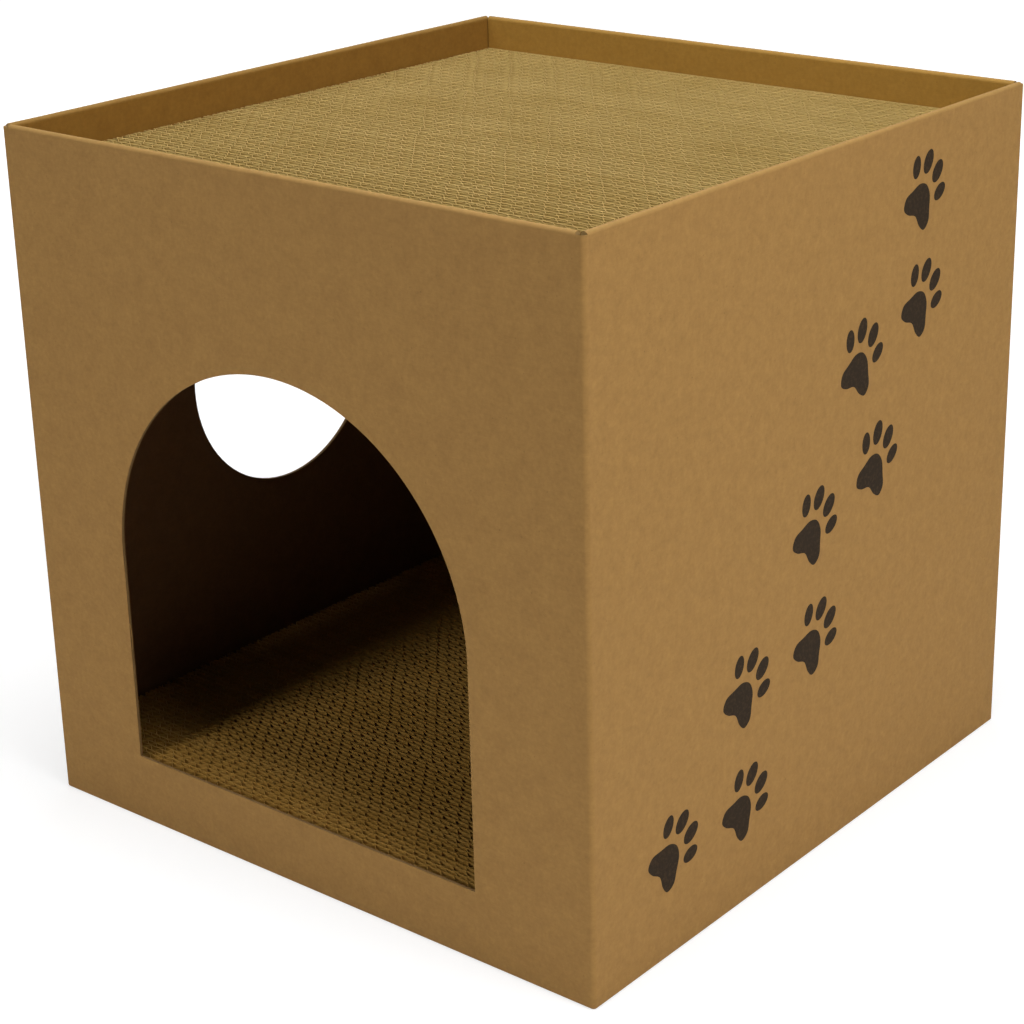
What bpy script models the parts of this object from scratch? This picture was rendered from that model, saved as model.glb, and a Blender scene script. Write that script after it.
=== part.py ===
# Cardboard cat house: a square corrugated box with an arched door, a round
# window, a sunken scratching pad on top and a thick pad on the floor inside.
# Metres, +Z up. The door faces -Y. The origin is on the ground, at the middle
# of the box.

from math import asin, cos, pi, radians, sin

import bmesh
import bpy
from mathutils import Vector

# Driving dimensions of the folded box.
WIDTH = 0.350               # outside, along X
DEPTH = 0.356               # outside, along Y
HEIGHT = 0.352              # ground to the crest of the rim
BOARD = 0.0018              # thickness of the fine-fluted board
CREASE_RADIUS = 0.0022      # outer radius of an upright corner
GAP = 0.0003                # air between two layers of board

# Arched door in the front wall.
DOOR_WIDTH = 0.2215
DOOR_SILL = 0.0360          # ground to the sill
DOOR_APEX = 0.2580          # ground to the top of the arch
DOOR_OFFSET = -0.0033       # from the middle of the wall, along X

# Round window in the left wall.
WINDOW_RADIUS = 0.0670
WINDOW_HEIGHT = 0.1890      # ground to its centre
WINDOW_OFFSET = -0.0030     # from the middle of the wall, along Y

# Sunken tray behind the folded rim.
RIM_DROP = 0.0180           # crest of the rim down to the pad
RIM_CORNER_CLEARANCE = 0.0017   # from a front or back rim flap's end to the side flap it meets
RIM_END_CLEARANCE = 0.0006  # from a side rim flap's end to the inside of the wall it runs to
NOTCH_DROP = 0.0016         # the bare wall edge past a fold lies this much lower
SHELF_REACH = 0.0420        # width of the ledge that carries the tray
SHELF_CORNER = 0.0060       # the ledges' mitred ends stay this far apart
TRAY_CLEARANCE = 0.0010     # round the tray board

# Scratching pads: strips of board glued side by side, flutes on end.
PAD_THICKNESS = 0.0306
PAD_CLEARANCE = 0.0014      # each side, between a pad and what surrounds it
PLY = 0.0035                # one strip
PLY_GROOVE_DEPTH = 0.0010   # valley between two strips
PLY_GROOVE_WIDTH = 0.0011
GROOVE_SHARE = 0.8          # of a strip's thickness, the widest that a valley gets

# Bottom flaps and the glued seam.
GLUE_FLAP_WIDTH = 0.0320
GLUE_FLAP_TAPER = 0.0100
FLAP_CORNER_CLEARANCE = 0.0008
FLAP_TAPER = 0.0040
OUTER_FLAP_SPLIT = 0.0016   # between the two outer flaps' free edges
INNER_FLAP_SPLIT = 0.0038   # between the two inner flaps' free edges

ARC_STEPS_CREASE = 4        # facets in an upright corner's eighth of a circle
ARC_STEPS_RIM = 4           # facets in a rim's quarter circle
ARC_STEPS_DOOR = 32         # facets in the door's half circle
WINDOW_STEPS = 48
SHARP_ANGLE = radians(30)   # edges sharper than this stay sharp in shading
OVERCUT = 0.010             # how far a cutter runs past what it cuts

# Colour and roughness of each kind of board.
KRAFT_OUTSIDE = ((0.352, 0.192, 0.066), 0.85)
KRAFT_INSIDE = ((0.260, 0.137, 0.045), 0.90)
PAD_STRIPS = ((0.392, 0.262, 0.084), 0.95)

# Heights and reaches that follow from the driving dimensions. A reach is
# measured inwards from the outer face of a wall.
INNER_LAYER = BOARD + GAP               # outer face of a layer that lies on a wall
RIM_INNER = INNER_LAYER + BOARD         # inner face of such a layer
CORNER_INSET = max(BOARD, CREASE_RADIUS) + GAP
RIM_END_INSET = {
    "front": RIM_INNER + RIM_CORNER_CLEARANCE,
    "right": INNER_LAYER + RIM_END_CLEARANCE,
    "back": RIM_INNER + RIM_CORNER_CLEARANCE,
    "left": INNER_LAYER + RIM_END_CLEARANCE,
}
PAD_TOP = HEIGHT - RIM_DROP
TOP_PAD_BASE = PAD_TOP - PAD_THICKNESS
TRAY_BASE = TOP_PAD_BASE - GAP - BOARD
SHELF_TOP = TRAY_BASE - GAP
SHELF_BASE = SHELF_TOP - BOARD
INNER_FLAP_BASE = BOARD + GAP
FLOOR_PAD_BASE = INNER_FLAP_BASE + BOARD + GAP


def clear_scene():
    for existing in list(bpy.context.scene.objects):
        bpy.data.objects.remove(existing, do_unlink=True)


def dress(item, finish):
    """Gives a piece its own material of the given colour and roughness."""
    colour, roughness = finish
    material = bpy.data.materials.new(item.name + "_board")
    material.use_nodes = True
    shader = material.node_tree.nodes["Principled BSDF"]
    shader.inputs["Base Color"].default_value = (*colour, 1.0)
    shader.inputs["Roughness"].default_value = roughness
    shader.inputs["Metallic"].default_value = 0.0
    material.diffuse_color = (*colour, 1.0)
    item.data.materials.append(material)
    return item


def arc(centre, radius, start, end, steps):
    """Points along an arc, both ends included; angles in radians."""
    points = []
    for step in range(steps + 1):
        angle = start + (end - start) * step / steps
        points.append((centre[0] + radius * cos(angle), centre[1] + radius * sin(angle)))
    return points


def prism(name, outline, place, low, high):
    """A closed solid from a flat outline; place(a, b, c) gives a point in space."""
    mesh = bpy.data.meshes.new(name)
    shape = bmesh.new()
    bottom = [shape.verts.new(place(a, b, low)) for a, b in outline]
    top = [shape.verts.new(place(a, b, high)) for a, b in outline]
    shape.faces.new(bottom)
    shape.faces.new(top)
    for index in range(len(outline)):
        following = (index + 1) % len(outline)
        shape.faces.new((bottom[index], bottom[following], top[following], top[index]))
    bmesh.ops.recalc_face_normals(shape, faces=shape.faces)
    shape.to_mesh(mesh)
    shape.free()
    mesh.shade_smooth()
    mesh.set_sharp_from_angle(angle=SHARP_ANGLE)
    item = bpy.data.objects.new(name, mesh)
    bpy.context.scene.collection.objects.link(item)
    return item


def in_plan(a, b, c):
    return (a, b, c)


def boolean(item, cutter, operation):
    """Keeps the cutter as a hidden guide and adds the Boolean to the item."""
    cutter.hide_render = True
    cutter.display_type = "WIRE"
    cutter.parent = item
    modifier = item.modifiers.new(operation.title() + " " + cutter.name, "BOOLEAN")
    modifier.operation = operation
    modifier.solver = "EXACT"
    modifier.object = cutter


# The four sides of the box: outward normal, direction of the side's run, and
# how far it lies from the box's middle and runs to each side of it.
SIDES = {
    "front": {"out": Vector((0, -1, 0)), "run": Vector((1, 0, 0))},
    "right": {"out": Vector((1, 0, 0)), "run": Vector((0, 1, 0))},
    "back": {"out": Vector((0, 1, 0)), "run": Vector((-1, 0, 0))},
    "left": {"out": Vector((-1, 0, 0)), "run": Vector((0, -1, 0))},
}
for side_name in ("front", "back"):
    SIDES[side_name]["reach"] = DEPTH / 2
    SIDES[side_name]["half_run"] = WIDTH / 2
for side_name in ("right", "left"):
    SIDES[side_name]["reach"] = WIDTH / 2
    SIDES[side_name]["half_run"] = DEPTH / 2


def plan_place(side):
    """Maps (along the run, inwards from the outer face, height) to space."""
    frame = SIDES[side]

    def place(run, inward, height):
        return frame["run"] * run + frame["out"] * (frame["reach"] - inward) + Vector((0, 0, height))

    return place


def elevation_place(side):
    """Maps (along the run, height, inwards) to space."""
    flat = plan_place(side)

    def place(run, height, inward):
        return flat(run, inward, height)

    return place


def section_place(side):
    """Maps (inwards, height, along the run) to space."""
    flat = plan_place(side)

    def place(inward, height, run):
        return flat(run, inward, height)

    return place


def wall_plan(side):
    """Plan of a wall: rounded corners that stop half a gap short of the mitre."""
    half = SIDES[side]["half_run"]
    centre = (half - CREASE_RADIUS, CREASE_RADIUS)
    inner_radius = max(CREASE_RADIUS - BOARD, GAP)
    outer_end = -pi / 4 - asin(GAP / 2 / CREASE_RADIUS)
    inner_end = -pi / 4 - asin(GAP / 2 / inner_radius)
    outer_arc = arc(centre, CREASE_RADIUS, -pi / 2, outer_end, ARC_STEPS_CREASE)
    inner_arc = arc(centre, inner_radius, inner_end, -pi / 2, ARC_STEPS_CREASE)
    one_end = outer_arc + inner_arc
    other_end = [(-a, b) for a, b in reversed(one_end)]
    return one_end + other_end


def crest_section():
    """Section of a wall across its top: the outer half of the folded crest."""
    rounding = arc((BOARD, HEIGHT - BOARD), BOARD, pi, pi / 2, ARC_STEPS_RIM)
    return [(-OVERCUT, -OVERCUT), (-OVERCUT, HEIGHT - BOARD)] + rounding + [
        (BOARD + OVERCUT, HEIGHT),
        (BOARD + OVERCUT, -OVERCUT),
    ]


def door_outline():
    radius = DOOR_WIDTH / 2
    spring = DOOR_APEX - radius
    sides = [(DOOR_OFFSET - radius, DOOR_SILL), (DOOR_OFFSET + radius, DOOR_SILL)]
    return sides + arc((DOOR_OFFSET, spring), radius, 0, pi, ARC_STEPS_DOOR)


def window_outline():
    # The left wall's run points along -Y.
    full = arc((-WINDOW_OFFSET, WINDOW_HEIGHT), WINDOW_RADIUS, 0, 2 * pi, WINDOW_STEPS)
    return full[:-1]


def make_wall(side, finish):
    """A wall panel, with the fold's crest along its top edge."""
    half = SIDES[side]["half_run"]
    wall = prism(side + "_wall", wall_plan(side), plan_place(side), 0, HEIGHT)
    crest = prism(side + "_crest_guide", crest_section(), section_place(side), -half - OVERCUT, half + OVERCUT)
    boolean(wall, crest, "INTERSECT")
    for end, label in ((-1, "start"), (1, "end")):
        near = end * (half - RIM_END_INSET[side])
        far = end * (half + OVERCUT)
        low = HEIGHT - NOTCH_DROP
        high = HEIGHT + OVERCUT
        outline = [(near, low), (far, low), (far, high), (near, high)]
        notch = prism(
            side + "_notch_" + label + "_guide",
            outline,
            elevation_place(side),
            -OVERCUT,
            BOARD + OVERCUT,
        )
        boolean(wall, notch, "DIFFERENCE")
    return dress(wall, finish)


def cut_through_wall(wall, side, name, outline):
    cutter = prism(name, outline, elevation_place(side), -OVERCUT, BOARD + OVERCUT)
    boolean(wall, cutter, "DIFFERENCE")


def make_rim_flap(side, finish):
    """The strip folded over the wall's top edge and down behind the pad."""
    half = SIDES[side]["half_run"] - RIM_END_INSET[side]
    rounding = arc((RIM_INNER - BOARD, HEIGHT - BOARD), BOARD, pi / 2, 0, ARC_STEPS_RIM)
    section = [(INNER_LAYER, SHELF_BASE)] + rounding + [(RIM_INNER, SHELF_BASE)]
    flap = prism(side + "_rim_flap", section, section_place(side), -half, half)
    return dress(flap, finish)


def make_shelf(side, finish):
    """The ledge creased inwards at the rim flap's lower edge, with mitred ends."""
    half = SIDES[side]["half_run"]
    root = RIM_INNER + GAP
    tip = root + SHELF_REACH
    outline = [
        (-half + root + SHELF_CORNER, root),
        (half - root - SHELF_CORNER, root),
        (half - tip - SHELF_CORNER, tip),
        (-half + tip + SHELF_CORNER, tip),
    ]
    shelf = prism(side + "_shelf", outline, plan_place(side), SHELF_BASE, SHELF_TOP)
    return dress(shelf, finish)


def make_glue_flap(finish):
    """The seam's tongue: from the back wall, glued inside the left wall."""
    top = SHELF_BASE - GAP - FLAP_CORNER_CLEARANCE
    bottom = FLOOR_PAD_BASE + FLAP_CORNER_CLEARANCE
    start = -(DEPTH / 2 - CORNER_INSET)
    end = start + GLUE_FLAP_WIDTH
    outline = [(start, bottom), (end, bottom + GLUE_FLAP_TAPER), (end, top - GLUE_FLAP_TAPER), (start, top)]
    flap = prism("glue_flap", outline, elevation_place("left"), INNER_LAYER, INNER_LAYER + BOARD)
    return dress(flap, finish)


def make_bottom_flap(side, length, base, finish):
    """A bottom flap: tapered ends, creased at the wall's lower edge."""
    half = SIDES[side]["half_run"] - CORNER_INSET - FLAP_CORNER_CLEARANCE
    root = INNER_LAYER
    outline = [
        (-half, root),
        (half, root),
        (half - FLAP_TAPER, root + length),
        (-half + FLAP_TAPER, root + length),
    ]
    flap = prism(side + "_bottom_flap", outline, plan_place(side), base, base + BOARD)
    return dress(flap, finish)


def hang_on_crease(flap, side):
    """Gives a bottom flap an empty on its crease, the axis that it swings about."""
    crease = bpy.data.objects.new(side + "_bottom_crease", None)
    crease.empty_display_size = 0.03
    crease.location = plan_place(side)(0, INNER_LAYER, 0)
    bpy.context.scene.collection.objects.link(crease)
    bpy.context.view_layer.update()
    flap.parent = crease
    flap.matrix_parent_inverse = crease.matrix_world.inverted()


def make_tray(finish):
    half_x = WIDTH / 2 - RIM_INNER - TRAY_CLEARANCE
    half_y = DEPTH / 2 - RIM_INNER - TRAY_CLEARANCE
    outline = [(-half_x, -half_y), (half_x, -half_y), (half_x, half_y), (-half_x, half_y)]
    tray = prism("tray_board", outline, in_plan, TRAY_BASE, TRAY_BASE + BOARD)
    return dress(tray, finish)


def ply_profile(half_depth, base, top):
    """Section across the strips: a flat crown for each, a valley between two."""
    count = max(2, round(2 * half_depth / PLY))
    pitch = 2 * half_depth / count
    groove = min(PLY_GROOVE_WIDTH, pitch * GROOVE_SHARE) / 2
    points = [(-half_depth, base), (half_depth, base), (half_depth, top)]
    for index in range(count - 1, 0, -1):
        middle = -half_depth + index * pitch
        points.append((middle + groove, top))
        points.append((middle, top - PLY_GROOVE_DEPTH))
        points.append((middle - groove, top))
    points.append((-half_depth, top))
    return points


def make_pad(name, half_x, half_y, base, finish):
    """Strips run along X and stand side by side along Y."""
    outline = ply_profile(half_y, base, base + PAD_THICKNESS)

    def place(across, height, along):
        return (along, across, height)

    pad = prism(name, outline, place, -half_x, half_x)
    return dress(pad, finish)


clear_scene()

walls = {side_name: make_wall(side_name, KRAFT_OUTSIDE) for side_name in SIDES}
cut_through_wall(walls["front"], "front", "door_guide", door_outline())
cut_through_wall(walls["left"], "left", "window_guide", window_outline())

for side_name in SIDES:
    make_rim_flap(side_name, KRAFT_INSIDE)
    make_shelf(side_name, KRAFT_INSIDE)
make_glue_flap(KRAFT_INSIDE)

inner_length = DEPTH / 2 - INNER_LAYER - INNER_FLAP_SPLIT / 2
for side_name in ("front", "back"):
    make_bottom_flap(side_name, inner_length, INNER_FLAP_BASE, KRAFT_INSIDE)
outer_length = WIDTH / 2 - INNER_LAYER - OUTER_FLAP_SPLIT / 2
for side_name in ("left", "right"):
    hang_on_crease(make_bottom_flap(side_name, outer_length, 0, KRAFT_OUTSIDE), side_name)

make_tray(KRAFT_INSIDE)
make_pad(
    "top_pad",
    WIDTH / 2 - RIM_INNER - PAD_CLEARANCE,
    DEPTH / 2 - RIM_INNER - PAD_CLEARANCE,
    TOP_PAD_BASE,
    PAD_STRIPS,
)
make_pad(
    "floor_pad",
    WIDTH / 2 - RIM_INNER - PAD_CLEARANCE,
    DEPTH / 2 - BOARD - PAD_CLEARANCE,
    FLOOR_PAD_BASE,
    PAD_STRIPS,
)
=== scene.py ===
from math import cos, pi, radians, sin

import bpy
from mathutils import Matrix, Vector, noise
from mathutils.geometry import delaunay_2d_cdt


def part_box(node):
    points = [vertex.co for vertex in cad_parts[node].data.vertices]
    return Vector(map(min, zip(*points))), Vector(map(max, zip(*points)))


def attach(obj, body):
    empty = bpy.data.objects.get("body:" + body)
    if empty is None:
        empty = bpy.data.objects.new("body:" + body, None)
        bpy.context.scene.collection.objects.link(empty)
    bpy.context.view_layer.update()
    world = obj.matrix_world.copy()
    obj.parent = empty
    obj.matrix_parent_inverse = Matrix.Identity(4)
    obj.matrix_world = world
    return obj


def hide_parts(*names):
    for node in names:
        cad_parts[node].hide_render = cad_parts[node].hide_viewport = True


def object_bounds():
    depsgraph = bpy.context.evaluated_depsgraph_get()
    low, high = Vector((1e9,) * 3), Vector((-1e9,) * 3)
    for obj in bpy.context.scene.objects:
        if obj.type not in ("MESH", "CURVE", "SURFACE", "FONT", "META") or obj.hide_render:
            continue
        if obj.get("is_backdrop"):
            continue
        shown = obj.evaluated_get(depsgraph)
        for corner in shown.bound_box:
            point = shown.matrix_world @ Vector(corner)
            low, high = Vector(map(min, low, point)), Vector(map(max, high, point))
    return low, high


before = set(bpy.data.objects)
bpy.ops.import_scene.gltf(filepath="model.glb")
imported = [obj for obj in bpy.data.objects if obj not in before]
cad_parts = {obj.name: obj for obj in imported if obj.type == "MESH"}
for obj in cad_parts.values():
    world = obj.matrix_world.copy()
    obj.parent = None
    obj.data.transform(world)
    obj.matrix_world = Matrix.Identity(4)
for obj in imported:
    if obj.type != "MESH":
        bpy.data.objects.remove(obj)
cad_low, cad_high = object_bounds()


# The walls: one sheet of fine-fluted board, die-cut with the door and the window, creased, folded
# round the four corners and glued at the back left one. The outer paper runs unbroken round the
# corners and over the rim, so the four walls are drawn as the one folded sheet they are.

MM = 0.001
HALF_X, HALF_Y, HEIGHT = cad_high.x, cad_high.y, cad_high.z
BOARD = 1.8 * MM              # whole thickness of the board
LINER = 0.25 * MM             # each of its two paper faces
FLUTING = 0.20 * MM           # the waved paper between them
FLUTE_PITCH = 3.5 * MM        # E flute
FLUTE_STEPS = 8               # facets in one wave
SKIN = 0.05 * MM              # the drawn outer face lies this far inside the solid's
LAYER_GAP = 0.3 * MM          # air between two folded layers
CORNER_RADIUS = 2.2 * MM      # outside of an upright crease
FOOT_RADIUS = 1.5 * MM        # outside of the crease along the ground
SEAM_INSET = 0.4 * MM         # the left wall's raw edge stops short of the back face
SEAM_RADIUS = 2.2 * MM        # crease of the tongue that goes inside the left wall
# The rim's folds stop this far from each corner: the side walls' run on between the other two.
NOTCH = {"left": 2.7 * MM, "front": 4.4 * MM, "right": 2.7 * MM, "back": 4.4 * MM}
NOTCH_TOP = HEIGHT - 1.1 * MM
INNER_FOOT = 2.0 * MM         # the flutes and the inner paper start above the foot's crease
SEAT = 0.05 * MM              # crushed board lies this far from the papers over it
CREST_BASE = HEIGHT - BOARD   # the rim's bend starts here
BEND = BOARD * pi / 2         # length of the bend, measured along the paper
BEND_STEPS = 7
CREST_FLAT = LAYER_GAP / 2    # half of the flat between the two bends of the rim
CREST_TOP = CREST_BASE + BEND + CREST_FLAT
LOOSE_DEPTH = 8.0 * MM        # the hand-folded rim wanders from this far below its top,
LOOSE_RAMP = 6.0 * MM         # and fully this much higher
CORNER_STEPS = 8              # facets round an upright crease
SHADING_GUARD = 0.5 * MM      # a line this close to a bend keeps the flat faces' shading flat

DOOR_OFFSET = -3.3 * MM       # along X
DOOR_RADIUS = 110.75 * MM
DOOR_SILL = 36.0 * MM
DOOR_SPRING = 147.25 * MM
WINDOW_RADIUS = 67.0 * MM
WINDOW_HEIGHT = 189.0 * MM
WINDOW_OFFSET = -3.0 * MM     # along Y


def paint(code):
    """Linear colour of an sRGB hex value."""
    parts = [int(code[start:start + 2], 16) / 255 for start in (1, 3, 5)]
    return tuple(p / 12.92 if p <= 0.04045 else ((p + 0.055) / 1.055) ** 2.4 for p in parts) + (1.0,)


def add_node(tree, kind, settings=None, sockets=None):
    """Adds a node. Settings are its properties, or just its operation. Sockets go by name, or stand in
    their order, and each is a constant, or the output or the node that it is linked from."""
    node = tree.nodes.new(kind)
    settings = {"operation": settings} if isinstance(settings, str) else settings or {}
    sockets = dict(enumerate(sockets)) if isinstance(sockets, tuple) else sockets or {}
    for name, value in settings.items():
        setattr(node, name, value)
    for key, value in sockets.items():
        if isinstance(value, bpy.types.Node):
            value = value.outputs[0]
        if isinstance(value, bpy.types.NodeSocket):
            tree.links.new(value, node.inputs[key])
        else:
            node.inputs[key].default_value = value
    return node


MATH, VECTOR_MATH = "ShaderNodeMath", "ShaderNodeVectorMath"


def new_material(name):
    """A material, its node tree and the coordinates of the piece that wears it."""
    material = bpy.data.materials.new(name)
    material.use_nodes = True
    tree = material.node_tree
    return material, tree, add_node(tree, "ShaderNodeTexCoord").outputs["Object"]


def set_surface(tree, colour, roughness, specular, relief=None):
    """Gives a material's shader its colour, its gloss and its relief."""
    shader = tree.nodes["Principled BSDF"]
    tree.links.new(colour, shader.inputs["Base Color"])
    shader.inputs["Roughness"].default_value = roughness
    shader.inputs["Specular IOR Level"].default_value = specular
    if relief:
        tree.links.new(relief.outputs[0], shader.inputs["Normal"])


def kraft_paper(name, tone, pale, dark, crest_wear=0.0):
    """Uncoated kraft liner: cloudy pulp, long fibres across the flutes, a few dark bark flecks."""
    material, tree, place = new_material(name)
    # Pulp gathers in clouds about 7 mm and 2 mm across.
    clouds = add_node(tree, "ShaderNodeTexNoise", sockets={
        "Vector": place, "Scale": 1 / (7 * MM), "Detail": 5.0, "Roughness": 0.7})
    mottle = add_node(tree, "ShaderNodeTexNoise", sockets={
        "Vector": place, "Scale": 1 / (2.2 * MM), "Detail": 3.0, "Roughness": 0.6})
    # Fibres lie along the paper's run, across the flutes: 5 mm long, 0.35 mm thick.
    along = add_node(tree, "ShaderNodeMapping", sockets={
        "Vector": place, "Scale": (1 / (5 * MM), 1 / (5 * MM), 1 / (0.35 * MM))})
    fibres = add_node(tree, "ShaderNodeTexNoise", sockets={
        "Vector": along, "Scale": 1.0, "Detail": 3.0, "Roughness": 0.6})
    flecks = add_node(tree, "ShaderNodeTexVoronoi", sockets={"Vector": place, "Scale": 1 / (7 * MM)})
    cloud_tone = add_node(tree, "ShaderNodeValToRGB", sockets={"Fac": clouds})
    for element, position, code in zip(cloud_tone.color_ramp.elements, (0.30, 0.70), (dark, pale)):
        element.position = position
        element.color = paint(code)
    body = add_node(tree, "ShaderNodeMix", {"data_type": "RGBA"}, {
        "Factor": 0.5, "A": paint(tone), "B": cloud_tone})
    speckle = add_node(tree, "ShaderNodeMapRange", sockets={
        "Value": mottle, "From Min": 0.3, "From Max": 0.7, "To Min": 0.93, "To Max": 1.07})
    streak = add_node(tree, "ShaderNodeMapRange", sockets={
        "Value": fibres, "From Min": 0.25, "From Max": 0.75, "To Min": 0.955, "To Max": 1.045})
    fleck = add_node(tree, "ShaderNodeMapRange", sockets={
        "Value": flecks, "From Min": 0.03, "From Max": 0.07, "To Min": 0.80, "To Max": 1.0})
    grain = add_node(tree, MATH, "MULTIPLY", (speckle, streak))
    grain = add_node(tree, MATH, "MULTIPLY", (grain, fleck))
    colour = add_node(tree, VECTOR_MATH, "SCALE", {0: body.outputs["Result"], "Scale": grain}).outputs[0]
    if crest_wear:
        # Handled and stretched paper turns greyer over the rim's crest.
        axes = add_node(tree, "ShaderNodeSeparateXYZ", sockets=(place,)).outputs
        crest = add_node(tree, "ShaderNodeMapRange", sockets={
            "Value": axes["Z"], "From Min": HEIGHT - 2.4 * MM, "From Max": HEIGHT - 0.4 * MM})
        patchy = add_node(tree, "ShaderNodeMapRange", sockets={
            "Value": mottle, "From Min": 0.35, "From Max": 0.65, "To Min": 0.5, "To Max": 1.0})
        amount = add_node(tree, MATH, "MULTIPLY", (crest, patchy))
        share = add_node(tree, MATH, "MULTIPLY", (amount, crest_wear))
        colour = add_node(tree, "ShaderNodeMix", {"data_type": "RGBA"}, {
            "Factor": share, "A": colour, "B": paint("#7F6638")}).outputs["Result"]
    relief = add_node(tree, MATH, "ADD", (fibres, mottle))
    relief = add_node(tree, "ShaderNodeBump", sockets={
        "Height": relief, "Strength": 0.5, "Distance": 0.04 * MM})
    set_surface(tree, colour, 0.82, 0.25, relief)
    return material


# Kraft linerboard, machine finished: matt, warm brown, with the pulp's clouds and fibres.
kraft_outside = kraft_paper("kraft_liner_outside", "#9D7740", "#A88046", "#906A39", crest_wear=0.7)
# The unprinted face of the same sheet, darker and redder: painted shade, which stands in for the shade
# inside the cabin.
kraft_inside = kraft_paper("kraft_liner_inside_painted_shade", "#6A4727", "#734F2C", "#5F3E21")
# Fluting medium: recycled semi-chemical paper, greyer and rougher than the liners.
fluting_paper = kraft_paper("fluting_medium", "#7E6138", "#876A41", "#70552F")
# The same papers crushed flat in the creases, and seen at the rim's raw ends.
crushed_paper = kraft_paper("crushed_board", "#A58857", "#AE9160", "#977A4B")

sides = ("left", "front", "right", "back")
half_run = {"left": HALF_Y, "front": HALF_X, "right": HALF_Y, "back": HALF_X}

# The sheet's way round the box, as straight runs and bends, from the raw edge at the back left.
legs = []
middle = {}
spot, heading, travelled = Vector((-HALF_X, HALF_Y - SEAM_INSET)), Vector((0.0, -1.0)), 0.0
for side in sides:
    entry = SEAM_INSET if side == "left" else CORNER_RADIUS
    bend = SEAM_RADIUS if side == "back" else CORNER_RADIUS
    leave = bend + (BOARD + LAYER_GAP if side == "back" else 0.0)
    length = 2 * half_run[side] - entry - leave
    middle[side] = travelled - entry + half_run[side]
    legs.append((travelled, spot.copy(), heading.copy(), 0.0))
    travelled += length
    spot += heading * length
    legs.append((travelled, spot.copy(), heading.copy(), bend))
    travelled += bend * pi / 2
    inwards = Vector((-heading.y, heading.x))
    spot += (heading + inwards) * bend
    heading = inwards


def plan_point(run, inward):
    """Where the sheet is in plan, a distance along it and a distance inwards of its outer face."""
    start, origin, ahead, bend = [leg for leg in legs if leg[0] <= run + 1e-9][-1]
    inwards = Vector((-ahead.y, ahead.x))
    if not bend:
        return origin + ahead * (run - start) + inwards * inward
    turn = (run - start) / bend
    arm = ahead * sin(turn) - inwards * cos(turn)
    return origin + inwards * bend + arm * (bend - inward)


def hand_folded(run, level, height):
    """The rim is folded by hand: near its top it wanders a little and shows the flutes in the board."""
    wander = noise.noise(Vector((run / (45 * MM), 3.7, 0.2)))
    wander += 0.5 * noise.noise(Vector((run / (14 * MM), 8.1, 0.6)))
    drop = MM * (0.16 + 0.10 * wander + 0.03 * cos(2 * pi * run / FLUTE_PITCH))
    share = min(max((height - (HEIGHT - LOOSE_DEPTH)) / LOOSE_RAMP, 0.0), 1.0)
    return level - share * drop


def wall_point(run, height, depth):
    """Folds the flat sheet: round the corners, under at the foot and over at the rim."""
    if height > CREST_BASE:
        angle = min((height - CREST_BASE) / BOARD, pi / 2)
        beyond = max(0.0, height - CREST_BASE - BEND)
        inward = BOARD - (BOARD - depth) * cos(angle) + beyond
        level = CREST_BASE + (BOARD - depth) * sin(angle)
    elif height < FOOT_RADIUS and depth < FOOT_RADIUS:
        angle = (FOOT_RADIUS - height) / FOOT_RADIUS
        inward = FOOT_RADIUS - (FOOT_RADIUS - depth) * cos(angle)
        level = FOOT_RADIUS - (FOOT_RADIUS - depth) * sin(angle)
    else:
        inward, level = depth, height
    return (*plan_point(run, inward), hand_folded(run, level, height))


def inside(loops, x, y):
    """Whether a point is in the first loop and out of the others."""
    crossings = 0
    for loop in loops:
        for (ax, ay), (bx, by) in zip(loop, loop[1:] + loop[:1]):
            if (ay > y) != (by > y) and x < ax + (y - ay) * (bx - ax) / (by - ay):
                crossings += 1
    return crossings % 2 == 1


def die_cut(loops, lines=()):
    """Triangles of a flat sheet cut to an outline less its holes, and split along the given lines."""
    points, edges = [], []
    for loop in loops:
        first = len(points)
        points += [Vector(point) for point in loop]
        edges += [(first + index, first + (index + 1) % len(loop)) for index in range(len(loop))]
    for start, end in lines:
        edges.append((len(points), len(points) + 1))
        points += [Vector(start), Vector(end)]
    corners, _, faces, *_ = delaunay_2d_cdt(points, edges, [], 0, 1e-7)
    kept = []
    for face in faces:
        centre = sum((corners[index] for index in face), Vector((0.0, 0.0))) / len(face)
        if inside(loops, *centre):
            kept.append(tuple(face))
    return corners, kept


def new_piece(name, points, faces, materials, smooth_below=50):
    """A mesh object at the origin, with its place in its mesh."""
    mesh = bpy.data.meshes.new(name)
    mesh.from_pydata(points, [], faces)
    for material in materials:
        mesh.materials.append(material)
    mesh.shade_smooth()
    mesh.set_sharp_from_angle(angle=radians(smooth_below))
    piece = bpy.data.objects.new(name, mesh)
    bpy.context.scene.collection.objects.link(piece)
    return piece


def folded_sheet(name, cut, bend, near, far, material):
    """One closed sheet of paper between two depths, folded by the given bend."""
    corners, faces = cut
    used = sorted({index for face in faces for index in face})
    order = {index: place for place, index in enumerate(used)}
    faces = [tuple(order[index] for index in face) for face in faces]
    flat = [corners[index] for index in used]
    points = [bend(x, y, near) for x, y in flat] + [bend(x, y, far) for x, y in flat]
    count = len(flat)
    sheet = list(faces) + [tuple(count + index for index in reversed(face)) for face in faces]
    edges = {(a, b) for face in faces for a, b in zip(face, face[1:] + face[:1])}
    sheet += [(b, a, count + a, count + b) for a, b in edges if (b, a) not in edges]
    return new_piece(name, points, sheet, [material])


def joined(name, pieces):
    """Makes one piece of several."""
    keep = pieces[0]
    with bpy.context.temp_override(active_object=keep, selected_editable_objects=pieces):
        bpy.ops.object.join()
    keep.name = keep.data.name = name
    return keep


def arc(centre, radius, start, end, steps):
    return [(centre[0] + radius * cos(start + (end - start) * step / steps),
             centre[1] + radius * sin(start + (end - start) * step / steps)) for step in range(steps + 1)]


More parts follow.
